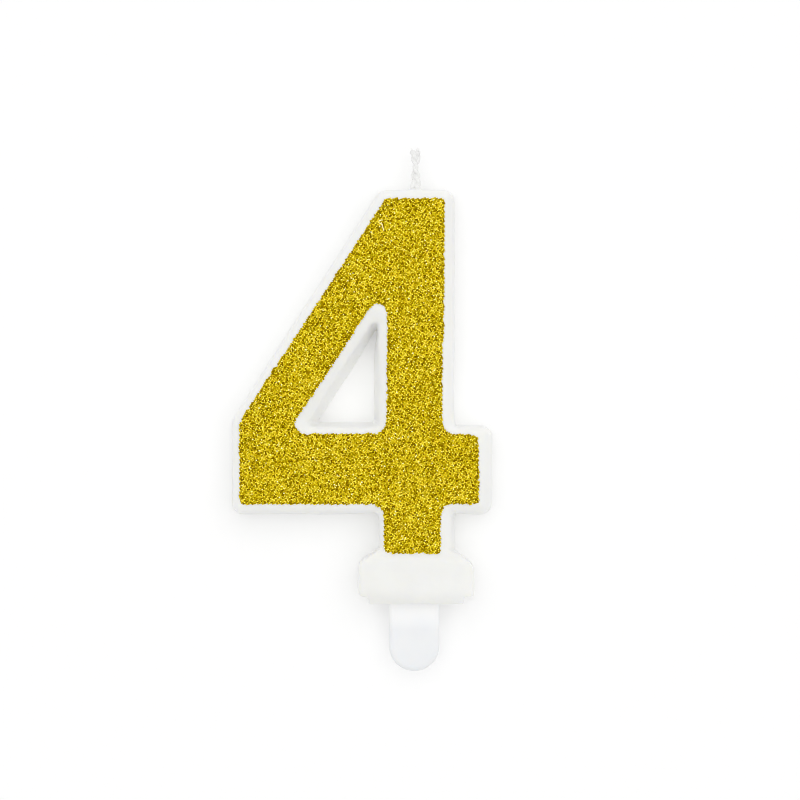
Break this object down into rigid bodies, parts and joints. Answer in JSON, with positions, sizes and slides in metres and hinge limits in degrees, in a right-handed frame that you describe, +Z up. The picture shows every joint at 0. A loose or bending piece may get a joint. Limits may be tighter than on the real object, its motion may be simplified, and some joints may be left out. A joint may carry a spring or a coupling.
{
  "type": "number birthday candle",
  "caption": "Wax numeral 4 on a base block, with a gold glitter face, a plaited wick and a flat plastic pick that slides out of the base.",
  "frame": {"origin": "middle of the underside of the base, on the plane of the cake's surface, where the pick enters the cake", "axes": "+Z up towards the wick, -Y out of the glittered front face, +X to the right as the numeral is read"},
  "size_m": [0.0441, 0.0085, 0.0879],
  "materials": {
    "wax": "satin white wax, slightly translucent",
    "adhesive": "dried clear adhesive, tinted by the glitter",
    "glitter": "metallised gold glitter flakes",
    "wick": "waxed white cotton plait",
    "pick_plastic": "translucent white moulded plastic"
  },
  "bodies": {
    "pick": {"pick": "pick_plastic"},
    "candle": {"wax_body": "wax", "glue_film": "adhesive", "glitter_coat": "glitter", "wick_ply_1": "wick", "wick_ply_2": "wick", "wick_ply_3": "wick"}
  },
  "joints": [
    {"name": "candle_off_pick", "type": "slide", "parent": "pick", "child": "candle", "axis": [0, 0, 1], "range_m": [0, 0.012]}
  ]
}
